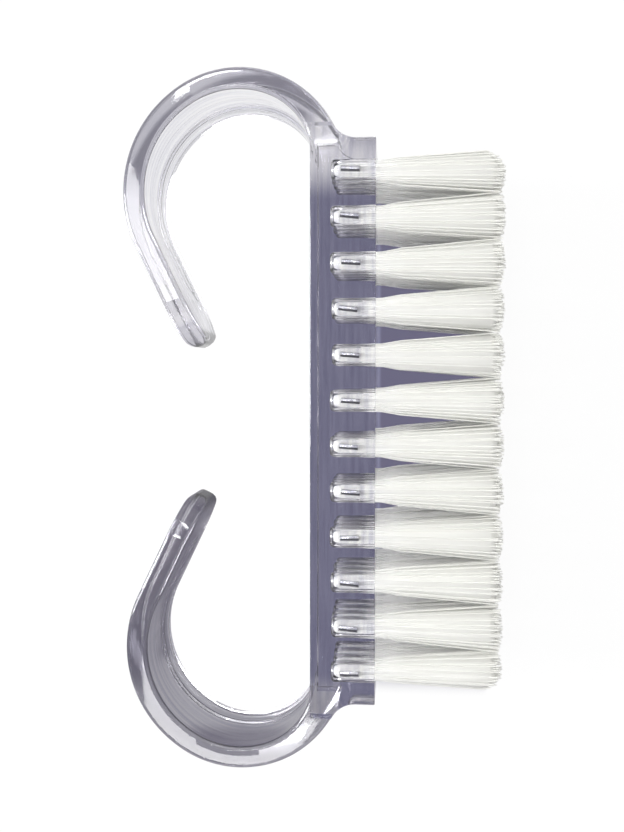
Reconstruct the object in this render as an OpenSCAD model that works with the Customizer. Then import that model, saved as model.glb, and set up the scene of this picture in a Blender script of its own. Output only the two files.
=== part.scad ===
// Nail brush: a block and two finger hooks moulded in one piece of clear plastic,
// and tufts of nylon filament, each folded round a flat wire anchor in a blind hole.
// It lies on its side. +X is the way the bristles point, +Y runs along the block and
// +Z goes across its width, up from the surface that it lies on. Sizes are in mm.

/* [Block] */
// Length of the block, along Y
block_l = 50.7; // [46:0.1:70]
// Width of the block, along Z
block_w = 15; // [13:0.5:20]
// Thickness of the block from its back to the bristle face, along X
block_t = 5.85; // [5.2:0.05:9]
// Radius of the block's four long edges
block_edge_r = 0.3; // [0.1:0.05:0.6]
// Height of the shoulder that carries a hook at each end of the block
shoulder_h = 1.4; // [0.8:0.1:2]
// Depth of the shoulder's foot, from the back of the block
shoulder_foot = 4.1; // [3.6:0.1:4.8]
// Radius of the hollow from the shoulder down to the end of the block
shoulder_hollow_r = 2.4; // [2.2:0.1:3]

/* [Hooks] */
// Thickness of a hook's band
hook_t = 2; // [1.6:0.1:2.6]
// Width of the band, along Z
hook_w = 10.5; // [8:0.5:12.5]
// Radius of the band's long edges
hook_edge_r = 0.4; // [0.1:0.05:0.6]
// Distance from the block's back to the middle of the band where it leaves the end
root_inset = 1.65; // [1.4:0.05:2.4]
// Turn of the band from the Y axis where it leaves the block's end, in degrees
root_angle = 18.5; // [12:0.5:24]
// Radius of the bend next to the block, at the middle of the band
root_bend_r = 9; // [8:0.1:10]
// Turn at which the wider bend takes over, in degrees
bend_change_angle = 120; // [100:1:140]
// Radius of that wider bend, at the middle of the band
palm_bend_r = 10.4; // [9:0.1:12]
// Lean of the straight end from the Y axis, in degrees
hook_lean = 25.7; // [15:0.1:35]
// Length of the straight end, rounded tip included
straight_l = 10.7; // [8:0.1:13]
// Radius of the tip's two corners, seen from behind
tip_corner_r = 3; // [1:0.1:4]
// Turn at which the fillet down to the block's back begins, in degrees
fillet_angle = 75; // [65:1:85]
// Width of the shallow channel along the inside of each hook
channel_w = 3.5; // [2:0.1:5]
// Depth of that channel
channel_d = 0.25; // [0.1:0.05:0.4]
// Plain length between the end of the channel and the tip's corners
channel_stop = 0.2; // [0.1:0.1:1.5]

/* [Holes] */
// Distance from the block's end to the middle of the first row
row_margin = 2.63; // [2.2:0.01:3.4]
// Distance from the block's side to the middle of the outer column
column_margin = 2.1; // [1.9:0.05:2.6]
// Diameter of a tuft hole
hole_d = 2; // [1.6:0.05:2.3]
// Depth of a tuft hole
hole_depth = 4; // [3.6:0.1:4.6]
// Radius of the corner at the bottom of a hole
hole_corner_r = 0.4; // [0.1:0.05:0.6]

/* [Anchors] */
// Thickness of the flat wire
anchor_t = 0.45; // [0.2:0.05:0.6]
// Height of the wire, along the hole
anchor_h = 1.7; // [1:0.1:2]
// Length at each end that bites into the wall of the hole
anchor_bite = 0.3; // [0.1:0.05:0.4]
// Height of the fold of filament under the anchor
fold_h = 0.7; // [0.5:0.05:1]

/* [Bristles] */
// Free length of the longest strand, from the bristle face
bristle_free = 11.6; // [8:0.1:16]
// Strands round the middle one of each tuft
strands_round = 8; // [6:1:8]
// Half thickness of a strand in its hole
strand_root_r = 0.22; // [0.15:0.01:0.24]
// Half thickness of a strand at its tip
strand_tip_r = 0.32; // [0.2:0.01:0.4]
// Space between the tips of neighbouring tufts
tuft_gap = 0.12; // [0.1:0.02:0.5]
// Most that a strand falls short of the longest one
ragged = 0.5; // [0.1:0.05:1]

/* [Hidden] */
rows = 12;
columns = 4;

// Running clearance round a tuft, and round an anchor in its slot
fit_gap = 0.04;
// Overrun of a cut past the face that it opens
over = 1;
// How far a fillet runs into the face that it meets, so that the two cross
blend = 0.02;
// How deep a strand is rooted in the tuft's plug
strand_root = 0.3;
// Largest step round a hook's bends, and the turns round the corners of its tip, in degrees
bend_step = 6;
tip_turns = [0, 20, 38, 52, 64, 74, 82];

// Places of the rows and columns
row_pitch = (block_l - 2 * row_margin) / (rows - 1);
column_pitch = (block_w - 2 * column_margin) / (columns - 1);

// Centre of the root bend, of the wider bend and of the fillet, for the hook at +Y
root_centre = [root_inset - root_bend_r * cos(root_angle),
               block_l / 2 - root_bend_r * sin(root_angle)];
palm_centre = root_centre + (root_bend_r - palm_bend_r)
              * [cos(bend_change_angle), sin(bend_change_angle)];
inner_r = root_bend_r - hook_t / 2;
fillet_r = (blend - root_centre[0] - inner_r * cos(fillet_angle)) / (1 - cos(fillet_angle));
fillet_centre = root_centre + (inner_r - fillet_r) * [cos(fillet_angle), sin(fillet_angle)];
straight_angle = 180 + hook_lean;

// The back of the block, placed so that the whole brush is centred on the origin
hook_reach = palm_bend_r + hook_t / 2 - palm_centre[0];
back_x = (hook_reach - block_t - bristle_free) / 2;

// Shape of a tuft: each share is of the free length or of the spread
knee_share = 0.13;
knee_spread_share = 0.32;
root_ring_r = hole_d / 2 - fit_gap - strand_root_r;
tip_ring_y = row_pitch / 2 - tuft_gap / 2 - strand_tip_r;
tip_ring_z = column_pitch / 2 - tuft_gap / 2 - strand_tip_r;
turn_spread = 12;

clear_plastic = [0.72, 0.71, 0.8, 0.6];
nylon = [0.94, 0.94, 0.92];
steel = [0.62, 0.63, 0.66];

function two_digits(i) = str(i < 10 ? "0" : "", i);
function row_name(kind, i) = str(kind, "_row_", two_digits(i));

// Row 1 is the one at +Y
function row_y(i) = block_l / 2 - row_margin - (i - 1) * row_pitch;
function column_z(j) = block_w / 2 - column_margin - (j - 1) * column_pitch;

// From the block's own place, its back at x = 0 and its middle at z = 0, to the brush's
module placed() {
    translate([back_x, 0, block_w / 2]) children();
}

module rounded_rectangle(w, h, r) {
    square([w - 2 * r, h], center = true);
    square([w, h - 2 * r], center = true);
    for (x = [-1, 1], y = [-1, 1])
        translate([x * (w / 2 - r), y * (h / 2 - r)]) circle(r, $fn = 24);
}

// Block

// The shoulder's outline: flat on top, then a hollow that runs out on the block's end
module shoulder_outline() {
    difference() {
        translate([0, -over]) square([shoulder_foot, shoulder_h + over]);
        translate([shoulder_foot, shoulder_hollow_r]) circle(shoulder_hollow_r, $fn = 72);
    }
}

module block_outline() {
    translate([0, -block_l / 2]) square([block_t, block_l]);
    for (side = [0, 1]) mirror([0, side])
        translate([0, block_l / 2]) shoulder_outline();
}

module block() {
    length = block_l + 2 * shoulder_h + 2 * over;
    intersection() {
        linear_extrude(block_w + 2 * over, center = true) block_outline();
        translate([block_t / 2, length / 2, 0]) rotate([90, 0, 0])
            linear_extrude(length) rounded_rectangle(block_t, block_w, block_edge_r);
    }
}

// Hooks

// Each hook is one skin through a row of cross-sections. A section holds the point on the
// inside of the band, the angle of the way out from there, and the band's thickness and
// width and the channel's depth at that place.
function on_circle(centre, r, a) = centre + r * [cos(a), sin(a)];

// Angles from one to another in equal steps, with and without the first one
function steps(from, to) =
    let (count = ceil((to - from) / bend_step))
    [for (k = [0:count]) from + (to - from) * k / count];
function later_steps(from, to) =
    let (angles = steps(from, to))
    [for (k = [1:len(angles) - 1]) angles[k]];

// Distance from the root bend's centre to the fillet's face, at an angle
function fillet_reach(a) =
    (inner_r - fillet_r) * cos(a - fillet_angle)
    + sqrt(fillet_r ^ 2 - ((inner_r - fillet_r) * sin(a - fillet_angle)) ^ 2);

// The angle at which the fillet meets the block's back
fillet_end_angle = atan2(fillet_centre[1] - root_centre[1], blend - root_centre[0]);

function root_section(a) =
    [on_circle(root_centre, fillet_reach(a), a), a,
     root_bend_r + hook_t / 2 - fillet_reach(a), hook_w, channel_d];
function bend_section(centre, r, a) =
    [on_circle(centre, r - hook_t / 2, a), a, hook_t, hook_w, channel_d];

// A section of the straight end, at a distance along it. Past its corners the band gets
// narrower, and past the start of its round nose it gets thinner.
function straight_section(at, depth) =
    let (corner_at = max(0, at - straight_l + tip_corner_r),
         nose_at = max(0, at - straight_l + hook_t / 2),
         thick = 2 * sqrt((hook_t / 2) ^ 2 - nose_at ^ 2),
         wide = hook_w - 2 * tip_corner_r + 2 * sqrt(tip_corner_r ^ 2 - corner_at ^ 2))
    [on_circle(palm_centre, palm_bend_r - thick / 2, straight_angle)
     + at * [-sin(straight_angle), cos(straight_angle)],
     straight_angle, thick, wide, depth];

channel_end = straight_l - tip_corner_r - channel_stop;
hook_sections = concat(
    [for (a = steps(fillet_end_angle, fillet_angle)) root_section(a)],
    [for (a = later_steps(fillet_angle, bend_change_angle))
        bend_section(root_centre, root_bend_r, a)],
    [for (a = later_steps(bend_change_angle, straight_angle))
        bend_section(palm_centre, palm_bend_r, a)],
    [straight_section(channel_end - channel_w / 2, channel_d),
     straight_section(channel_end, 0)],
    [for (a = tip_turns) straight_section(straight_l - tip_corner_r * (1 - sin(a)), 0)]);

// The outline of a section, as [way out, across], with rounded corners and the channel
function section_outline(thick, wide, depth) =
    let (r = min(hook_edge_r, thick / 3), mid = r * (1 - cos(45)),
         lip = channel_w / 2 + channel_d, side = wide / 2)
    [[0, r - side], [0, -lip], [depth, -channel_w / 2], [depth, channel_w / 2], [0, lip],
     [0, side - r], [mid, side - mid], [r, side],
     [thick - r, side], [thick - mid, side - mid], [thick, side - r],
     [thick, r - side], [thick - mid, mid - side], [thick - r, -side],
     [r, -side], [mid, mid - side]];

function section_points(s) =
    [for (p = section_outline(s[2], s[3], s[4]))
        [s[0][0] + p[0] * cos(s[1]), s[0][1] + p[0] * sin(s[1]), p[1]]];

module hook() {
    n = len(section_outline(hook_t, hook_w, channel_d));
    last = len(hook_sections) - 1;
    polyhedron(
        [for (s = hook_sections) each section_points(s)],
        concat([[for (k = [0:n - 1]) k]], [[for (k = [n - 1:-1:0]) last * n + k]],
               [for (i = [0:last - 1], k = [0:n - 1])
                   let (next = (k + 1) % n, a = i * n, b = (i + 1) * n)
                   each [[a + k, b + k, b + next], [a + k, b + next, a + next]]]));
}

// Tufts and their anchors, at the bristle face and pointing along +X

// A blind hole, or what fills it, from its round-cornered bottom up to its mouth
module blind_hole(r, bottom, mouth) {
    corner = min(hole_corner_r, r / 2);
    translate([bottom, 0, 0]) rotate([0, 90, 0]) rotate_extrude($fn = 32) {
        square([r - corner, mouth - bottom]);
        translate([0, corner]) square([r, mouth - bottom - corner]);
        translate([r - corner, corner]) circle(corner, $fn = 24);
    }
}

module anchor(gap = 0) {
    translate([-hole_depth + fold_h - gap, -anchor_t / 2 - gap, -hole_d / 2 - anchor_bite - gap])
        cube([anchor_h + 2 * gap, anchor_t + 2 * gap, hole_d + 2 * anchor_bite + 2 * gap]);
}

module tuft_cut() {
    blind_hole(hole_d / 2, -hole_depth, over);
    anchor(fit_gap);
}

// Three corners of a strand's cross-section
function strand_ring(x, y, z, r, turn) =
    [for (k = [0:2]) [x, y + r * cos(turn + 120 * k), z + r * sin(turn + 120 * k)]];

// One strand: its root, its knee just past the hole's mouth, and its tip
module strand(angle, ring, tip_x, turn) {
    knee_x = knee_share * bristle_free;
    root_y = ring * root_ring_r * cos(angle);
    root_z = ring * root_ring_r * sin(angle);
    tip_y = ring * tip_ring_y * cos(angle);
    tip_z = ring * tip_ring_z * sin(angle);
    knee_y = root_y + (tip_y - root_y) * knee_spread_share;
    knee_z = root_z + (tip_z - root_z) * knee_spread_share;
    knee_r = strand_root_r + (strand_tip_r - strand_root_r) * knee_spread_share;
    polyhedron(
        concat(strand_ring(-strand_root, root_y, root_z, strand_root_r, turn),
               strand_ring(knee_x, knee_y, knee_z, knee_r, turn),
               strand_ring(tip_x, tip_y, tip_z, strand_tip_r, turn)),
        concat([[0, 1, 2], [8, 7, 6]],
               [for (s = [0, 3], k = [0:2]) each [
                   [s + k, s + 3 + k, s + (k + 1) % 3],
                   [s + (k + 1) % 3, s + 3 + k, s + 3 + (k + 1) % 3]]]));
}

module tuft(seed) {
    short_by = rands(0, ragged, strands_round, seed);
    turn = rands(-turn_spread, turn_spread, strands_round, seed + rows * columns);
    difference() {
        blind_hole(hole_d / 2 - fit_gap, fit_gap - hole_depth, 0);
        anchor(fit_gap);
    }
    strand(0, 0, bristle_free, turn[0]);
    for (s = [0:strands_round - 1])
        strand(360 * s / strands_round, 1, bristle_free - short_by[s],
               360 * s / strands_round + turn[s]);
}

// Places its children on the bristle face, at column j of row i
module at_hole(i, j) {
    translate([block_t, row_y(i), column_z(j)]) children();
}

module body() {
    color(clear_plastic) placed() difference() {
        union() {
            block();
            for (side = [0, 1]) mirror([0, side, 0]) hook();
        }
        for (i = [1:rows], j = [1:columns]) at_hole(i, j) tuft_cut();
    }
}

module tuft_row(i) {
    color(nylon) placed()
        for (j = [1:columns]) at_hole(i, j) tuft(columns * i + j);
}

module anchor_row(i) {
    color(steel) placed()
        for (j = [1:columns]) at_hole(i, j) anchor();
}

body();
for (i = [1:rows]) {
    tuft_row(i);
    anchor_row(i);
}
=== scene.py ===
import math
import random

import bmesh
import bpy
import numpy as np
from mathutils import Matrix, Vector


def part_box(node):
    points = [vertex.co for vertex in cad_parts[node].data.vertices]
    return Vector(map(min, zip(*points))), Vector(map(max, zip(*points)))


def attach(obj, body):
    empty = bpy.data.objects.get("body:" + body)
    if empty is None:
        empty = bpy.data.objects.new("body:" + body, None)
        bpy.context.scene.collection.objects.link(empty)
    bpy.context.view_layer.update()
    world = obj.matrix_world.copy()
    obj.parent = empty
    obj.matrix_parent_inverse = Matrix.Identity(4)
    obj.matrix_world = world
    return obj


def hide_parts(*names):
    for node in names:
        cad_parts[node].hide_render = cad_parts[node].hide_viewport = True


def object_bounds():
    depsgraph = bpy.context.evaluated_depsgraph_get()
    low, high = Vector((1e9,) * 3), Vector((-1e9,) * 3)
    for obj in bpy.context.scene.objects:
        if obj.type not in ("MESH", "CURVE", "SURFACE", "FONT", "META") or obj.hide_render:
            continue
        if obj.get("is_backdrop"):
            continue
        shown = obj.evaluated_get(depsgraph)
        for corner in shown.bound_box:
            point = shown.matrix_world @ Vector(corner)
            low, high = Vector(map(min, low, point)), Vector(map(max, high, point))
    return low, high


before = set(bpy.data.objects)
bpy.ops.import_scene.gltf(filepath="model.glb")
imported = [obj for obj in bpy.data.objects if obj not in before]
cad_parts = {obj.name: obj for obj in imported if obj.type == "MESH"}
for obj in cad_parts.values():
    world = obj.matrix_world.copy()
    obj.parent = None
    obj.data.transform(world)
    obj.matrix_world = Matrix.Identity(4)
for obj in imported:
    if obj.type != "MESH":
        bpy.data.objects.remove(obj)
cad_low, cad_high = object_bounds()
bpy.ops.object.select_all(action="DESELECT")


# Clear body
# One moulding in clear polystyrene with a faint violet cast: a block, a shoulder at each of
# its ends, and the open finger hook that grows out of each shoulder. The holes for the
# tufts are drilled into its front.
MM = 0.001
BLOCK_L = 50.7 * MM
BLOCK_T = 5.85 * MM
BLOCK_EDGE_R = 0.1 * MM
END_EDGE_R = 0.12 * MM
SHOULDER_H = 1.4 * MM
SHOULDER_FOOT = 4.1 * MM
HOLLOW_R = 2.4 * MM

HOOK_T = 2 * MM
HOOK_W = 10.5 * MM
HOOK_EDGE_R = 0.4 * MM
ROOT_INSET = 1.65 * MM
ROOT_ANGLE = math.radians(18.5)
ROOT_BEND_R = 9 * MM
BEND_CHANGE = math.radians(120)
PALM_BEND_R = 10.4 * MM
STRAIGHT_ANGLE = math.radians(180 + 25.7)
STRAIGHT_L = 10.7 * MM
TIP_CORNER_R = 4.5 * MM
FILLET_ANGLE = math.radians(75)
CHANNEL_W = 3.5 * MM
CHANNEL_D = 0.25 * MM
CHANNEL_STOP = 0.2 * MM
CHANNEL_LIP_R = 0.09 * MM
BEND_STEP = math.radians(2.5)
SAME_TURN = 0.2 * BEND_STEP
TIP_RINGS = 11
SAME_PLACE = 0.02 * MM

HOLE_R = 1 * MM
HOLE_CORNER_R = 0.4 * MM
HOLE_DEPTH = 4 * MM
WIRE_T = 0.45 * MM
WIRE_H = 1.7 * MM
WIRE_BITE = 0.3 * MM
SLOT_GAP = 0.02 * MM
BOTTOM_VARIES = (-0.15, 0.05)
WIRE_X_VARIES = (-0.05, 0.25)
WIRE_TILT_VARIES = (-8, 1)
OVERRUN = 1 * MM
ROWS = range(1, 13)
COLUMNS = range(4)
COLUMN_MARGIN = 2.1 * MM

body_low, body_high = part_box("body")
face_x = body_high.x
back_x = face_x - BLOCK_T
width = body_high.z
mid_z = width / 2
end_y = BLOCK_L / 2


def start_edit(piece):
    """Edit mode on one piece alone."""
    bpy.ops.object.select_all(action="DESELECT")
    piece.select_set(True)
    bpy.context.view_layer.objects.active = piece
    bpy.ops.object.mode_set(mode="EDIT")


def end_edit():
    bpy.ops.object.mode_set(mode="OBJECT")


def pick(piece, kind, passes):
    """In edit mode, selects the verts, edges or faces that pass a test, and nothing else."""
    kinds = ("verts", "edges", "faces")
    bpy.context.tool_settings.mesh_select_mode = [k == kind for k in kinds]
    bpy.ops.mesh.select_all(action="DESELECT")
    shape = bmesh.from_edit_mesh(piece.data)
    for element in getattr(shape, kind):
        if passes(element):
            element.select_set(True)
    shape.select_flush_mode()
    bmesh.update_edit_mesh(piece.data)


def reshape(piece, moved):
    """In edit mode, puts every vertex where a function of its place says."""
    shape = bmesh.from_edit_mesh(piece.data)
    for vertex in shape.verts:
        vertex.co = moved(vertex.co)
    bmesh.update_edit_mesh(piece.data)


def apply_place(piece):
    """Moves the piece's place, turn and scale into its mesh."""
    bpy.ops.object.select_all(action="DESELECT")
    piece.select_set(True)
    bpy.context.view_layer.objects.active = piece
    bpy.ops.object.transform_apply(location=True, rotation=True, scale=True)


def modify(piece, kind, **settings):
    """Adds a modifier and applies it at once."""
    bpy.ops.object.select_all(action="DESELECT")
    piece.select_set(True)
    bpy.context.view_layer.objects.active = piece
    modifier = piece.modifiers.new(kind.lower(), kind)
    for name, value in settings.items():
        setattr(modifier, name, value)
    bpy.ops.object.modifier_apply(modifier=modifier.name)


def combine(piece, tool, operation):
    """Joins another solid to the piece, or cuts it away, and uses it up."""
    modify(piece, "BOOLEAN", operation=operation, solver="EXACT", object=tool)
    bpy.data.objects.remove(tool)


def join(pieces, name):
    bpy.ops.object.select_all(action="DESELECT")
    for piece in pieces:
        piece.select_set(True)
    bpy.context.view_layer.objects.active = pieces[0]
    bpy.ops.object.join()
    pieces[0].name = name
    return pieces[0]


def copy_at(piece, place):
    """A copy with a mesh of its own, moved and turned by a matrix."""
    copy = piece.copy()
    copy.data = piece.data.copy()
    copy.data.transform(place)
    bpy.context.collection.objects.link(copy)
    return copy


def on_circle(centre, r, turn):
    return centre + r * Vector((math.cos(turn), math.sin(turn), 0))


def polar(centre, place):
    """Distance and turn of a place from a centre, seen along Z."""
    out = place - centre
    return math.hypot(out.x, out.y), math.atan2(out.y, out.x) % math.tau


def make_block():
    """The block and its shoulders, with rounded edges."""
    bpy.ops.mesh.primitive_cube_add(size=1, location=(back_x + BLOCK_T / 2, 0, mid_z))
    block = bpy.context.object
    block.scale = (BLOCK_T, BLOCK_L + 2 * SHOULDER_H, width)
    apply_place(block)
    start_edit(block)
    pick(block, "edges", lambda e: abs(e.verts[0].co.y - e.verts[1].co.y) > BLOCK_L / 2)
    bpy.ops.mesh.bevel(offset=BLOCK_EDGE_R, segments=5)
    end_edit()
    for side in (1, -1):
        centre = Vector((back_x + SHOULDER_FOOT, side * (end_y + HOLLOW_R), mid_z))
        bpy.ops.mesh.primitive_cylinder_add(vertices=96, radius=HOLLOW_R,
                                            depth=width + 2 * OVERRUN, location=centre)
        hollow = bpy.context.object
        apply_place(hollow)
        start_edit(hollow)
        pick(hollow, "faces", lambda f: f.normal.x > 0.01)
        bpy.ops.mesh.extrude_region_move(TRANSFORM_OT_translate={"value": (BLOCK_T, 0, 0)})
        end_edit()
        combine(block, hollow, "DIFFERENCE")
    modify(block, "BEVEL", width=END_EDGE_R, segments=3, limit_method="ANGLE",
           angle_limit=math.radians(40))
    return block


root_centre = Vector((back_x + ROOT_INSET - ROOT_BEND_R * math.cos(ROOT_ANGLE),
                      end_y - ROOT_BEND_R * math.sin(ROOT_ANGLE), mid_z))
palm_centre = on_circle(root_centre, ROOT_BEND_R - PALM_BEND_R, BEND_CHANGE)
inner_r = ROOT_BEND_R - HOOK_T / 2
fillet_r = ((back_x - root_centre.x - inner_r * math.cos(FILLET_ANGLE))
            / (1 - math.cos(FILLET_ANGLE)))
fillet_centre = on_circle(root_centre, inner_r - fillet_r, FILLET_ANGLE)
hook_start = math.atan2(fillet_centre.y - root_centre.y, back_x - root_centre.x)


def fillet_reach(turn):
    """Distance from the root bend's centre to the face of the fillet."""
    apart = inner_r - fillet_r
    return (apart * math.cos(turn - FILLET_ANGLE)
            + math.sqrt(fillet_r ** 2 - (apart * math.sin(turn - FILLET_ANGLE)) ** 2))


def make_hook():
    """One hook: its cross-section is turned round both bends, then drawn out straight."""
    bpy.ops.mesh.primitive_plane_add(size=1, rotation=(math.pi / 2, 0, hook_start),
                                     location=on_circle(root_centre, ROOT_BEND_R, hook_start))
    hook = bpy.context.object
    hook.scale = (HOOK_T, HOOK_W, 1)
    apply_place(hook)
    start_edit(hook)
    pick(hook, "verts", lambda v: True)
    bpy.ops.mesh.bevel(offset=HOOK_EDGE_R, segments=6, affect="VERTICES")

    # The channel along the inside, as four more corners of the section
    pick(hook, "edges", lambda e: e.calc_length() > HOOK_W / 2
         and polar(root_centre, e.verts[0].co)[0] < ROOT_BEND_R)
    bpy.ops.mesh.subdivide(number_cuts=4)
    shape = bmesh.from_edit_mesh(hook.data)
    lip = CHANNEL_W / 2 + CHANNEL_D
    corners = sorted((v for v in shape.verts if abs(v.co.z - mid_z) < HOOK_W / 2 - 1.5 * HOOK_EDGE_R
                      and polar(root_centre, v.co)[0] < ROOT_BEND_R), key=lambda v: v.co.z)
    places = [(-lip, 0), (-CHANNEL_W / 2, CHANNEL_D), (CHANNEL_W / 2, CHANNEL_D), (lip, 0)]
    for corner, (across, depth) in zip(corners, places):
        corner.co = on_circle(root_centre, inner_r + depth, hook_start)
        corner.co.z += across
    bmesh.update_edit_mesh(hook.data)
    pick(hook, "verts", lambda v: abs(v.co.z - mid_z) < 1.1 * lip
         and polar(root_centre, v.co)[0] < ROOT_BEND_R)
    bpy.ops.mesh.bevel(offset=CHANNEL_LIP_R, segments=3, affect="VERTICES")
    pick(hook, "faces", lambda f: True)
    bpy.ops.mesh.delete(type="ONLY_FACE")

    # Root bend, with the fillet down to the block's back, and then the palm bend
    def spin(centre, turn_from, turn_to):
        pick(hook, "edges", lambda e: all(
            abs(polar(centre, v.co)[1] - turn_from) < SAME_TURN for v in e.verts))
        bpy.ops.mesh.spin(steps=math.ceil((turn_to - turn_from) / BEND_STEP),
                          angle=turn_to - turn_from, center=centre, axis=(0, 0, -1))

    def filleted(place):
        r, turn = polar(root_centre, place)
        if r < ROOT_BEND_R and turn < FILLET_ANGLE:
            shifted = on_circle(root_centre, r + fillet_reach(turn) - inner_r, turn)
            return Vector((shifted.x, shifted.y, place.z))
        return place

    spin(root_centre, hook_start, BEND_CHANGE)
    reshape(hook, filleted)
    spin(palm_centre, BEND_CHANGE, STRAIGHT_ANGLE)

    # The straight end and its round tip
    along = Vector((-math.sin(STRAIGHT_ANGLE), math.cos(STRAIGHT_ANGLE), 0))
    out = Vector((math.cos(STRAIGHT_ANGLE), math.sin(STRAIGHT_ANGLE), 0))
    start = on_circle(palm_centre, PALM_BEND_R, STRAIGHT_ANGLE)
    channel_end = STRAIGHT_L - TIP_CORNER_R - CHANNEL_STOP
    turns = [math.pi / 2 * k / TIP_RINGS for k in range(TIP_RINGS)]
    stations = [channel_end - CHANNEL_W / 2, channel_end]
    stations += [STRAIGHT_L - TIP_CORNER_R * (1 - math.sin(turn)) for turn in turns]
    before, thick_before, wide_before = 0, HOOK_T, HOOK_W
    for at in stations:
        corner_at = max(0, at - STRAIGHT_L + TIP_CORNER_R)
        nose_at = max(0, at - STRAIGHT_L + HOOK_T / 2)
        thick = 2 * math.sqrt((HOOK_T / 2) ** 2 - nose_at ** 2)
        wide = HOOK_W - 2 * TIP_CORNER_R + 2 * math.sqrt(TIP_CORNER_R ** 2 - corner_at ** 2)
        pick(hook, "edges", lambda e: all(
            abs((v.co - start).dot(along) - before) < SAME_PLACE
            and (v.co - palm_centre).dot(out) > 0 for v in e.verts))
        bpy.ops.mesh.extrude_region_move(
            TRANSFORM_OT_translate={"value": along * (at - before)})
        shape = bmesh.from_edit_mesh(hook.data)
        for vertex in (v for v in shape.verts if v.select):
            depth = (vertex.co - start).dot(out)
            across = vertex.co.z - mid_z
            if at == channel_end and depth < 0 and abs(across) < 1.1 * lip:
                depth = -HOOK_T / 2
            vertex.co = (start + along * at + out * depth * thick / thick_before
                         + Vector((0, 0, across * wide / wide_before)))
        bmesh.update_edit_mesh(hook.data)
        before, thick_before, wide_before = at, thick, wide
    for ring in (lambda v: abs((v.co - start).dot(along) - before) < SAME_PLACE,
                 lambda v: abs(polar(root_centre, v.co)[1] - hook_start) < SAME_TURN):
        pick(hook, "verts", ring)
        bpy.ops.mesh.edge_face_add()
    pick(hook, "faces", lambda f: True)
    bpy.ops.mesh.normals_make_consistent(inside=False)
    end_edit()
    return hook


# Each hole is a little deeper or shallower than the next, and its wire lies a little askew:
# depth and place vary by millimetres, the tilt by degrees
draw = random.Random(12)
holes = []
for row in ROWS:
    low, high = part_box(f"anchor_row_{row:02d}")
    for column in COLUMNS:
        holes.append({
            "row": row,
            "y": (low.y + high.y) / 2,
            "z": width - COLUMN_MARGIN - column * (width - 2 * COLUMN_MARGIN) / (len(COLUMNS) - 1),
            "bottom": face_x - HOLE_DEPTH + draw.uniform(*BOTTOM_VARIES) * MM,
            "wire_x": (low.x + high.x) / 2 + draw.uniform(*WIRE_X_VARIES) * MM,
            "tilt": math.radians(draw.uniform(*WIRE_TILT_VARIES)),
        })


def make_hole_cutter():
    """All the blind holes, as one solid."""
    bpy.ops.mesh.primitive_cylinder_add(vertices=40, radius=HOLE_R, depth=HOLE_DEPTH + OVERRUN,
                                        location=((HOLE_DEPTH + OVERRUN) / 2, 0, 0),
                                        rotation=(0, math.pi / 2, 0))
    drill = bpy.context.object
    apply_place(drill)
    start_edit(drill)
    pick(drill, "edges", lambda e: all(v.co.x < HOLE_R / 2 for v in e.verts))
    bpy.ops.mesh.bevel(offset=HOLE_CORNER_R, segments=5)
    end_edit()
    drills = [copy_at(drill, Matrix.Translation((hole["bottom"], hole["y"], hole["z"])))
              for hole in holes]
    bpy.data.objects.remove(drill)
    return join(drills, "drills")


def wire_place(hole):
    return (Matrix.Translation((hole["wire_x"], hole["y"], hole["z"]))
            @ Matrix.Rotation(hole["tilt"], 4, "Z"))


def make_slot_cutter():
    """All the slots that the wires cut into the walls of the holes."""
    bpy.ops.mesh.primitive_cube_add(size=1)
    slot = bpy.context.object
    slot.scale = (WIRE_H + 2 * SLOT_GAP, WIRE_T + 2 * SLOT_GAP,
                  2 * (HOLE_R + WIRE_BITE + SLOT_GAP))
    apply_place(slot)
    slots = [copy_at(slot, wire_place(hole)) for hole in holes]
    bpy.data.objects.remove(slot)
    return join(slots, "slots")


class Signal:
    """One output in a node tree. Sums and products with it add Math nodes."""

    def __init__(self, finish, socket):
        self.finish = finish
        self.socket = socket

    def math(self, operation, first, second):
        return self.finish.node("ShaderNodeMath", {"operation": operation},
                                {0: first, 1: second})

    def __add__(self, other):
        return self.math("ADD", self, other)

    def __sub__(self, other):
        return self.math("SUBTRACT", self, other)

    def __rsub__(self, other):
        return self.math("SUBTRACT", other, self)

    def __mul__(self, other):
        return self.math("MULTIPLY", self, other)

    __radd__ = __add__
    __rmul__ = __mul__


class Finish:
    """The node tree of one material, or of the world."""

    def __init__(self, owner):
        owner.use_nodes = True
        self.owner = owner
        self.tree = owner.node_tree
        self.tree.nodes.clear()

    def node(self, kind, settings=None, sockets=None, output=0):
        """Adds a node. A ramp's settings may hold stops, as pairs of place and colour."""
        made = self.tree.nodes.new(kind)
        for name, value in (settings or {}).items():
            if name != "stops":
                setattr(made, name, value)
                continue
            ramp = made.color_ramp.elements
            while len(ramp) < len(value):
                ramp.new(1)
            for element, (position, colour) in zip(ramp, value):
                element.position = position
                element.color = colour
        for name, value in (sockets or {}).items():
            if isinstance(value, Signal):
                self.tree.links.new(value.socket, made.inputs[name])
            else:
                made.inputs[name].default_value = value
        return Signal(self, made.outputs[output]) if len(made.outputs) else None


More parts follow.
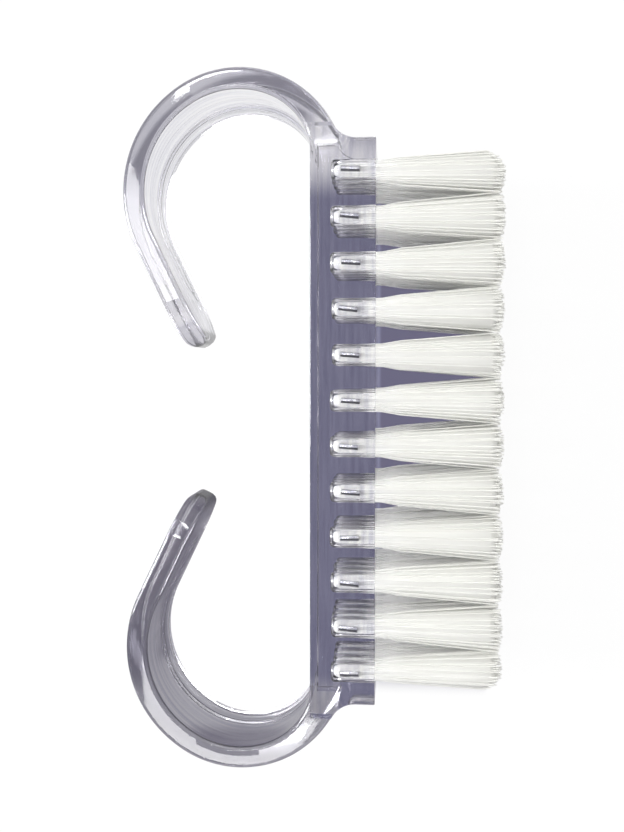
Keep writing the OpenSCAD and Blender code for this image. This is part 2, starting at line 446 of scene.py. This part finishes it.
def clear_plastic():
    """Polished clear plastic: flow marks from the mould, fine lines along the block and the
    hooks where the mould was polished, and a violet grey depth. Lamps shine through it."""
    finish = Finish(bpy.data.materials.new("clear_plastic"))
    place = finish.node("ShaderNodeTexCoord", output=3)

    def noise(scale, detail, stretch=(1, 1, 1)):
        drawn = finish.node("ShaderNodeMapping", sockets={"Vector": place, "Scale": stretch})
        return finish.node("ShaderNodeTexNoise", sockets={
            "Vector": drawn, "Scale": scale, "Detail": detail})

    flow = noise(260, 3)
    polish = noise(1500, 3, (0.05, 0.05, 1))
    streaks = noise(2200, 3, (1, 0.07, 0.4))
    on_block = finish.node("ShaderNodeMapRange", {}, {
        "Value": finish.node("ShaderNodeSeparateXYZ", sockets={0: place}),
        "From Min": back_x - HOOK_T, "From Max": back_x, "To Min": 0, "To Max": 1})
    colour = finish.node("ShaderNodeValToRGB", {"stops": [
        (0.35, (0.72, 0.72, 0.79, 1)), (0.6, (1, 1, 1, 1))]},
        {"Fac": polish + on_block * (streaks - polish)})
    bump = finish.node("ShaderNodeBump", sockets={"Strength": 0.12, "Distance": 0.1 * MM,
                                                  "Height": 0.7 * flow + 0.5 * polish})
    surface = finish.node("ShaderNodeBsdfPrincipled", sockets={
        "Base Color": colour, "Roughness": 0.015 + 0.05 * noise(900, 4),
        "IOR": 1.55, "Transmission Weight": 1, "Normal": bump})
    lit = finish.node("ShaderNodeBsdfTransparent", sockets={"Color": (0.92, 0.92, 0.94, 1)})
    shadow = finish.node("ShaderNodeLightPath", output=1)
    both = finish.node("ShaderNodeMixShader", sockets={0: shadow, 1: surface, 2: lit})
    depth = finish.node("ShaderNodeVolumeAbsorption", sockets={
        "Color": (0.53, 0.51, 0.58, 1), "Density": 55})
    finish.node("ShaderNodeOutputMaterial", sockets={"Surface": both, "Volume": depth})
    return finish.owner


clear_body = make_block()
hooks = make_hook()
modify(hooks, "MIRROR", use_axis=(False, True, False), use_mirror_merge=False)
combine(clear_body, hooks, "UNION")
combine(clear_body, make_hole_cutter(), "DIFFERENCE")
combine(clear_body, make_slot_cutter(), "DIFFERENCE")
clear_body.name = "clear_body"
for vertex in clear_body.data.vertices:
    vertex.co = [min(max(c, low), high) for c, low, high in zip(vertex.co, body_low, body_high)]
bpy.ops.object.shade_smooth_by_angle(angle=math.radians(32))
modify(clear_body, "WEIGHTED_NORMAL", keep_sharp=True)
clear_body.data.materials.clear()
clear_body.data.materials.append(clear_plastic())
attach(clear_body, "root")
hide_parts("body")


# Tufts
# Forty-eight bundles of white nylon filament. Each filament is folded under the wire in its
# hole, so that both of its ends stand out of the block, and the ends spread as they leave it.
FILAMENT_R = 0.06 * MM
FILAMENT_SIDES = 5
FILAMENT_PITCH = 0.12 * MM
TUFT_ROOT_R = 0.9 * MM
FOLD_NEAREST = 0.25 * MM
FOLD_H = 0.55 * MM
KNEE = (0.13, 0.32)
HEIGHTS = (1, 0.72, 0.44, 0.2, 0.05)
RAGGED = 0.35 * MM
DOMED = 0.35 * MM
OUTER_SPREAD = 0.78
OUTER_SHORT = 1.2 * MM
STRAY = 0.13 * MM
FOLD_TURNS = (0, 45, 90, 135, 180)
CORE_SIDES = 20
CORE_SHARE = 0.93
CORE_RINGS = ((-0.335, 0.5), (-0.325, 0.8), (-0.3, 1), (0, 1), (0.13, 1), (0.35, 1), (0.6, 1),
              (0.88, 1), (0.92, 0.9), (0.945, 0.6))


def straight_tube(r, sides, rings):
    """A tube along Z with a ring at each whole number: its points and its faces."""
    bpy.ops.mesh.primitive_cylinder_add(vertices=sides, radius=r, depth=rings - 1,
                                        location=(0, 0, (rings - 1) / 2))
    tube = bpy.context.object
    apply_place(tube)
    start_edit(tube)
    pick(tube, "edges", lambda e: abs(e.verts[0].co.z - e.verts[1].co.z) > 0.5)
    bpy.ops.mesh.subdivide_edgering(number_cuts=rings - 2)
    end_edit()
    points = np.array([v.co for v in tube.data.vertices])
    faces = [list(f.vertices) for f in tube.data.polygons]
    bpy.data.objects.remove(tube)
    return points, faces


def spread(height):
    """How far a filament has spread, at a height given as a share of its free length."""
    at, share = KNEE
    if height < at:
        return share * height / at
    return share + (1 - share) * (height - at) / (1 - at)


def filament_line(hole, across, along, tips):
    """The points of one filament's middle line, from one end through the fold to the other."""
    legs = []
    for side, tip in zip((1, -1), tips):
        leg = [Vector((face_x + height * tip.x,
                       side * across + spread(height) * (tip.y - side * across),
                       along + spread(height) * (tip.z - along))) for height in HEIGHTS]
        legs.append(leg)
    fold_x = hole["wire_x"] - WIRE_H / 2
    depth = FOLD_H * across / TUFT_ROOT_R + FILAMENT_R
    fold = [Vector((fold_x - depth * math.sin(math.radians(turn)),
                    across * math.cos(math.radians(turn)), along)) for turn in FOLD_TURNS]
    middle = Vector((0, hole["y"], hole["z"]))
    return [middle + point for point in legs[0] + fold + legs[1][::-1]]


def bent(points, line):
    """A straight filament's vertices, laid round a line."""
    line = np.array(line)
    along = np.gradient(line, axis=0)
    along /= np.linalg.norm(along, axis=1)[:, None]
    side = np.cross(along, (0, 0, 1))
    side /= np.linalg.norm(side, axis=1)[:, None]
    up = np.cross(side, along)
    ring = np.rint(points[:, 2]).astype(int)
    return line[ring] + points[:, :1] * side[ring] + points[:, 1:2] * up[ring]


def packed(points, hole):
    """A unit tube's vertices, laid out as the close-packed inside of one tuft."""
    shaped = []
    for point in points:
        height, share = CORE_RINGS[round(point[2])]
        open_out = spread(max(0, height))
        out = CORE_SHARE * share * point[:2]
        half = [TUFT_ROOT_R + open_out * (reach - TUFT_ROOT_R)
                for reach in (row_pitch / 2, column_pitch / 2)]
        free = height * (tip_x - face_x)
        if out[0] * outer_side(hole["row"]) > 0:
            half[0] = TUFT_ROOT_R + open_out * (OUTER_SPREAD * row_pitch / 2 - TUFT_ROOT_R)
            free -= height * OUTER_SHORT * out[0] ** 2
        shaped.append((face_x + free, hole["y"] + out[0] * half[0], hole["z"] + out[1] * half[1]))
    return np.array(shaped)


def outer_side(row):
    """Which side of an end row has no row beside it: 1 or -1, and 0 for a row in between."""
    return {ROWS[0]: 1, ROWS[-1]: -1}.get(row, 0)


def nylon():
    """White nylon: each filament is a little lighter or darker than the next."""
    finish = Finish(bpy.data.materials.new("nylon_filament"))
    place = finish.node("ShaderNodeTexCoord", output=3)
    drawn = finish.node("ShaderNodeMapping", sockets={"Vector": place, "Scale": (60, 2600, 2600)})
    tone = finish.node("ShaderNodeTexNoise", sockets={"Vector": drawn, "Scale": 1, "Detail": 1})
    colour = finish.node("ShaderNodeValToRGB", {"stops": [
        (0.3, (0.93, 0.93, 0.89, 1)), (0.7, (0.98, 0.98, 0.945, 1))]}, {"Fac": tone})
    solid = finish.node("ShaderNodeBsdfPrincipled", sockets={
        "Base Color": colour, "Roughness": 0.3 + 0.15 * tone, "IOR": 1.53})
    glow = finish.node("ShaderNodeBsdfTranslucent", sockets={"Color": (1, 1, 0.985, 1)})
    surface = finish.node("ShaderNodeMixShader", sockets={0: 0.5, 1: solid, 2: glow})
    finish.node("ShaderNodeOutputMaterial", sockets={"Surface": surface})
    return finish.owner


filament_points, filament_faces = straight_tube(FILAMENT_R, FILAMENT_SIDES,
                                                2 * len(HEIGHTS) + len(FOLD_TURNS))
core_points, core_faces = straight_tube(1, CORE_SIDES, len(CORE_RINGS))
nylon_finish = nylon()
draw = random.Random(48)
tip_x = cad_high.x
row_pitch = (holes[0]["y"] - holes[-1]["y"]) / (len(ROWS) - 1)
column_pitch = (width - 2 * COLUMN_MARGIN) / (len(COLUMNS) - 1)
spread_y = row_pitch / 2 / (TUFT_ROOT_R - FOLD_NEAREST + FILAMENT_PITCH / 2)
spread_z = column_pitch / 2 / TUFT_ROOT_R
for row in ROWS:
    shapes = []
    for hole in (h for h in holes if h["row"] == row):
        shapes.append((packed(core_points, hole), core_faces))
        across = FOLD_NEAREST
        while across < TUFT_ROOT_R:
            reach = math.sqrt(TUFT_ROOT_R ** 2 - across ** 2)
            count = int(2 * reach / FILAMENT_PITCH) + 1
            for k in range(count):
                along = (k - (count - 1) / 2) * FILAMENT_PITCH
                out = math.hypot(across, along) / TUFT_ROOT_R
                tips = []
                for side in (1, -1):
                    free = tip_x - face_x - draw.uniform(0, RAGGED) - DOMED * out ** 3
                    aside = (across - FOLD_NEAREST + draw.random() * FILAMENT_PITCH) * spread_y
                    if side == outer_side(row):
                        free -= OUTER_SHORT * (across / TUFT_ROOT_R) ** 2
                        aside *= OUTER_SPREAD
                    tips.append(Vector((free, side * aside,
                                        along * spread_z + draw.uniform(-STRAY, STRAY))))
                line = filament_line(hole, across, along, tips)
                shapes.append((bent(filament_points, line), filament_faces))
            across += FILAMENT_PITCH
    mesh = bpy.data.meshes.new(f"filaments_row_{row:02d}")
    faces = []
    first = 0
    for shape_points, shape_faces in shapes:
        faces += [[v + first for v in face] for face in shape_faces]
        first += len(shape_points)
    mesh.from_pydata(np.concatenate([s[0] for s in shapes]).tolist(), [], faces)
    mesh.materials.append(nylon_finish)
    filaments = bpy.data.objects.new(mesh.name, mesh)
    bpy.context.collection.objects.link(filaments)
    bpy.ops.object.select_all(action="DESELECT")
    filaments.select_set(True)
    bpy.context.view_layer.objects.active = filaments
    bpy.ops.object.shade_smooth_by_angle(angle=math.radians(75))
    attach(filaments, "root")
    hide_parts(f"tuft_row_{row:02d}")


# Anchors
# A short length of flat steel wire in the fold of each tuft. Both of its cut ends are driven
# into the wall of the hole, which holds the tuft. The shears left one half of each end as a
# smooth slope and the other half rounded over and torn. The torn half is painted near black
# as the shade on the wire's lower side.
WIRE_EDGE_R = 0.04 * MM
WIRE_END_R = 0.2 * MM
WIRE_SLOPE = math.radians(17.5)
TORN_SHADED_EDGE = 0.04 * MM


def make_wire():
    """One flat wire with sheared ends and rounded edges."""
    bpy.ops.mesh.primitive_cube_add(size=1)
    wire = bpy.context.object
    wire.scale = (WIRE_H, WIRE_T, 2 * (HOLE_R + WIRE_BITE))
    apply_place(wire)
    start_edit(wire)
    pick(wire, "edges", lambda e: abs(e.verts[0].co.x - e.verts[1].co.x) > WIRE_H / 2
         and e.verts[0].co.y < 0)
    bpy.ops.mesh.bevel(offset=WIRE_END_R, segments=5)
    end_z = HOLE_R + WIRE_BITE
    sloped = 1 - (WIRE_T - WIRE_END_R) * math.tan(WIRE_SLOPE) / end_z
    reshape(wire, lambda place: Vector(
        (place.x, place.y, place.z * (sloped if place.y > 0 else 1))))
    end_edit()
    modify(wire, "BEVEL", width=WIRE_EDGE_R, segments=2, limit_method="ANGLE",
           angle_limit=math.radians(50))
    bpy.ops.object.shade_smooth_by_angle(angle=math.radians(35))
    wire.data.materials.append(steel())
    wire.data.materials.append(torn_shaded_steel())
    # The torn lower halves of the ends take the near-black finish, which is painted shade
    for face in wire.data.polygons:
        at_end = abs(face.center.z) > end_z - WIRE_END_R
        face.material_index = int(at_end and face.center.y < TORN_SHADED_EDGE)
    return wire


def steel():
    """Drawn steel wire, with fine lines along its length."""
    finish = Finish(bpy.data.materials.new("steel_wire"))
    place = finish.node("ShaderNodeTexCoord", output=3)
    drawn = finish.node("ShaderNodeMapping", sockets={"Vector": place,
                                                      "Scale": (9000, 9000, 500)})
    lines = finish.node("ShaderNodeTexNoise", sockets={"Vector": drawn, "Scale": 1, "Detail": 2})
    bump = finish.node("ShaderNodeBump", sockets={"Strength": 0.2, "Distance": 0.02 * MM,
                                                  "Height": lines})
    surface = finish.node("ShaderNodeBsdfPrincipled", sockets={
        "Base Color": (0.72, 0.72, 0.74, 1), "Metallic": 1,
        "Roughness": 0.15 + 0.2 * lines, "Normal": bump})
    finish.node("ShaderNodeOutputMaterial", sockets={"Surface": surface})
    return finish.owner


def torn_shaded_steel():
    """The half of a sheared end where the wire tore: rough, and painted near black as shade."""
    finish = Finish(bpy.data.materials.new("torn_shaded_steel"))
    place = finish.node("ShaderNodeTexCoord", output=3)
    grain = finish.node("ShaderNodeTexNoise", sockets={"Vector": place, "Scale": 15000})
    # Painted shade: the near-black base colour stands in for the shade on the lower half of each
    # end
    surface = finish.node("ShaderNodeBsdfPrincipled", sockets={
        "Base Color": (0.06, 0.06, 0.07, 1), "Metallic": 1, "Roughness": 0.45 + 0.3 * grain})
    finish.node("ShaderNodeOutputMaterial", sockets={"Surface": surface})
    return finish.owner


wire = make_wire()
for row in ROWS:
    wires = join([copy_at(wire, wire_place(hole)) for hole in holes if hole["row"] == row],
                 f"wires_row_{row:02d}")
    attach(wires, "root")
    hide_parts(f"anchor_row_{row:02d}")
bpy.data.objects.remove(wire)


# Floor, light and camera
# A white sheet under the brush, with shade painted into it under the brush and under the hooks,
# soft lamps above both of its ends and a low one at its left, in a pale room that is brighter
# towards the upper end. The camera looks almost straight down.
FLOOR_SIZE = 1.2
FLOOR_GAP = 0.02 * MM
FLOOR_WHITE = 0.94
SHADE_EDGE = 0.7 * MM
BACK_SHADE = 0.5 * MM
FACE_SHADE_EDGE = 0.4 * MM
END_SHADE_EDGE = 4 * MM
SHEET_R = 0.07
SHEET_FADE = 0.08
# The darkest painted tone of the sheet, which the plastic shows far off and under the hooks
SHEET_DIM = (0.09, 0.08, 0.13, 1)
# Painted shade: the sheet's tones under the block and under the tufts, which stand in for the
# brush's shadow
SHADE_UNDER_BLOCK = (0.24, 0.24, 0.35, 1)
SHADE_UNDER_TUFTS = (0.155, 0.148, 0.225, 1)

# How much darker the sheet is painted where the plastic shows it, as painted shadows of the hooks
# and painted shade towards the lower end and far off, and where: start, end and soft edge
BACK_FADE = 2 * MM
BEND_BAND = (7.6 * MM, 11.6 * MM, 1 * MM)
BEND_BAND_DEPTH = 0.16
BEND_LINE = (8.7 * MM, 10.3 * MM, 0.4 * MM)
UPPER_LINE_FROM = 22 * MM
UPPER_LINE_FULL = 25 * MM
UPPER_LINE_DEPTH = 0.54
LOWER_LINE = (-27 * MM, -12 * MM, 3 * MM)
LOWER_LINE_DEPTH = 0.3
LOWER_HOOK_X = (-19.5 * MM, -7 * MM, 1 * MM)
LOWER_HOOK_Y = (-27 * MM, -6 * MM, 2 * MM)
LOWER_HOOK_DEPTH = 0.66
LOWER_END = (-9 * MM, 6 * MM)
LOWER_END_DEPTH = 0.62
PAST_END_FROM = 1 * MM
PAST_END_FULL = 3 * MM
PAST_END_DEPTH = 0.75
FAR_DEPTH = 0.92

# Place, size and power of each lamp, and X, Y, width and length of each glint
LAMPS = (
    (Vector((-0.05, 0.35, 0.45)), (0.34, 0.34), 0.29),
    (Vector((0.06, -0.38, 0.45)), (0.3, 0.3), 0.4),
    (Vector((-0.3, 0.02, 0.15)), (0.1, 0.3), 1.35),
    (Vector((-0.12, 0.07, 0.45)), (0.06, 0.12), 0.2),
    (Vector((-0.085, -0.19, 0.45)), (0.1, 0.055), 0.15),
)
GLINT_HEIGHT = 0.45
GLINT_LIGHT = 20
GLINTS = (
    (-0.0945, 0.166, 0.042, 0.013),
    (-0.0558, 0.0262, 0.038, 0.012),
    (0.0563, 0.272, 0.014, 0.095),
    (-0.048, -0.188, 0.016, 0.011),
    (-0.0286, 0.125, 0.012, 0.003),
)
EYE = Vector((7.66, 4.57, 104.1)) * MM
AIM = Vector((-0.36, 0.40, 7.5)) * MM
FOCAL_LENGTH = 43.27

bpy.ops.mesh.primitive_plane_add(size=FLOOR_SIZE, location=(0, 0, -FLOOR_GAP))
floor = bpy.context.object
floor.name = "floor"
paper = Finish(bpy.data.materials.new("white_paper"))
path = paper.node("ShaderNodeLightPath").socket.node.outputs
direct = Signal(paper, path["Is Camera Ray"])
seen = direct + Signal(paper, path["Is Glossy Ray"]) + Signal(paper, path["Is Transmission Ray"])
place = paper.node("ShaderNodeTexCoord", output=3)
split = paper.node("ShaderNodeSeparateXYZ", sockets={0: place}).socket.node.outputs


def ramp_down(value, start, end):
    """1 up to the start and 0 past the end, with a smooth step between."""
    return paper.node("ShaderNodeMapRange", {"interpolation_type": "SMOOTHSTEP"}, {
        "Value": value, "From Min": start, "From Max": end, "To Min": 1, "To Max": 0})


def between(value, low, high, edge):
    """1 over the stretch from low to high, falling to 0 at both of its ends."""
    middle, half = (low + high) / 2, (high - low) / 2
    off = paper.node("ShaderNodeMath", {"operation": "ABSOLUTE"}, {0: value - middle})
    return ramp_down(off, half - edge, half)


def mix(factor, first, second):
    return paper.node("ShaderNodeMix", {"data_type": "RGBA"},
                      {"Factor": factor, 6: first, 7: second}, output=2)


# The sheet is painted in shade under the brush. What shows through the plastic is also painted
# darker: painted shadows under the hooks, and painted shade towards the lower end and far off.
across, along = Signal(paper, split["X"]), Signal(paper, split["Y"])
shade = (between(across, back_x - BACK_SHADE, cad_high.x, SHADE_EDGE)
         * between(along, -end_y - END_SHADE_EDGE, end_y, END_SHADE_EDGE))
beyond_face = ramp_down(across, face_x + FACE_SHADE_EDGE, face_x)
shaded = mix(beyond_face, SHADE_UNDER_BLOCK, SHADE_UNDER_TUFTS)
sheet_tone = mix(shade, (1, 1, 1, 1), shaded)
bend_centre = (root_centre + palm_centre) / 2
bend_centre.z = 0
mirrored = paper.node("ShaderNodeVectorMath", {"operation": "ABSOLUTE"}, {0: place})
mirrored = paper.node("ShaderNodeCombineXYZ", sockets={0: across, 1: paper.node(
    "ShaderNodeSeparateXYZ", sockets={0: mirrored}, output=1)})
reach = paper.node("ShaderNodeVectorMath", {"operation": "DISTANCE"},
                   {0: mirrored, 1: bend_centre}, output=1)
# Painted shadows of the hooks, seen only through the plastic: a band round the bends and a darker
# line under each
painted_bend_shadow = ramp_down(across, back_x - BACK_FADE, back_x) * (
    BEND_BAND_DEPTH * between(reach, *BEND_BAND)
    + between(reach, *BEND_LINE) * (
        UPPER_LINE_DEPTH * ramp_down(0 - along, -UPPER_LINE_FULL, -UPPER_LINE_FROM)
        + LOWER_LINE_DEPTH * between(along, *LOWER_LINE)))
# Painted shadow under the lower hook, and painted shade towards the lower end and past it
painted_lower_hook_shadow = between(across, *LOWER_HOOK_X) * between(along, *LOWER_HOOK_Y)
painted_lower_end_shade = ramp_down(along, *LOWER_END) * (1 - shade)
painted_past_end_shade = ramp_down(along, cad_low.y - PAST_END_FULL, cad_low.y - PAST_END_FROM)
far = paper.node("ShaderNodeVectorMath", {"operation": "LENGTH"}, {0: place}, output=1)
pale = (FAR_DEPTH * ramp_down(far, SHEET_R, SHEET_R + SHEET_FADE) * (1 - painted_bend_shadow)
        * (1 - LOWER_END_DEPTH * painted_lower_end_shade) * (1 - LOWER_HOOK_DEPTH * painted_lower_hook_shadow)
        * (1 - PAST_END_DEPTH * painted_past_end_shade))
dimmed = mix(pale, SHEET_DIM, sheet_tone)
# The glow carries the painted shade: painted tones for camera rays, darker painted tones where the
# plastic shows the sheet
white = paper.node("ShaderNodeEmission", sockets={"Color": mix(direct, dimmed, sheet_tone),
                                                  "Strength": 1})
matt = paper.node("ShaderNodeBsdfDiffuse", sockets={"Color": (0.9, 0.9, 0.9, 1)})
lit = (1 - FLOOR_WHITE) * (1 - shade) * ramp_down(far, SHEET_R, SHEET_R + SHEET_FADE)
sheet = paper.node("ShaderNodeMixShader", sockets={0: seen * (1 - lit), 1: matt, 2: white})
paper.node("ShaderNodeOutputMaterial", sockets={"Surface": sheet})
floor.data.materials.append(paper.owner)
floor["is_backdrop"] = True

bpy.context.scene.world = bpy.data.worlds.new("room")
room = Finish(bpy.context.scene.world)
direction = room.node("ShaderNodeTexCoord", output=0)
towards = room.node("ShaderNodeSeparateXYZ", sockets={0: direction}, output=1)
tone = room.node("ShaderNodeValToRGB", {"stops": [
    (0, (0.54, 0.53, 0.57, 1)), (0.5, (0.63, 0.63, 0.65, 1)), (1, (0.88, 0.88, 0.865, 1))]},
    {"Fac": 0.5 * towards + 0.5})
light = room.node("ShaderNodeBackground", sockets={"Color": tone, "Strength": 1})
plain = room.node("ShaderNodeBackground", sockets={"Color": (1, 1, 1, 1), "Strength": 1})
path = room.node("ShaderNodeLightPath")
backdrop = room.node("ShaderNodeMixShader", sockets={
    0: Signal(room, path.socket.node.outputs["Is Camera Ray"]), 1: light, 2: plain})
room.node("ShaderNodeOutputWorld", sockets={"Surface": backdrop})


def hang_lamp(place, size, power):
    """A soft rectangular lamp, turned to the brush."""
    bpy.ops.object.light_add(type="AREA", location=place)
    lamp = bpy.context.object
    lamp.data.shape = "RECTANGLE"
    lamp.data.size, lamp.data.size_y = size
    lamp.data.energy = power
    lamp.visible_camera = False
    lamp.rotation_euler = (-place).to_track_quat("-Z", "Y").to_euler()


# The glints come from small lamps that are all equally bright, however large they are
for lamp_place, lamp_size, lamp_power in LAMPS:
    hang_lamp(lamp_place, lamp_size, lamp_power)
for glint_x, glint_y, glint_w, glint_l in GLINTS:
    hang_lamp(Vector((glint_x, glint_y, GLINT_HEIGHT)), (glint_w, glint_l),
              GLINT_LIGHT * math.pi * glint_w * glint_l)

camera = bpy.data.objects.new("camera", bpy.data.cameras.new("camera"))
bpy.context.collection.objects.link(camera)
camera.data.lens = FOCAL_LENGTH
camera.data.clip_start = 0.005
back = (EYE - AIM).normalized()
right = Vector((0, 1, 0)).cross(back).normalized()
turn = Matrix((right, back.cross(right), back)).transposed()
camera.matrix_world = Matrix.Translation(EYE) @ turn.to_4x4()
bpy.context.scene.camera = camera
bpy.context.scene.view_settings.view_transform = "Standard"

low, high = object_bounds()
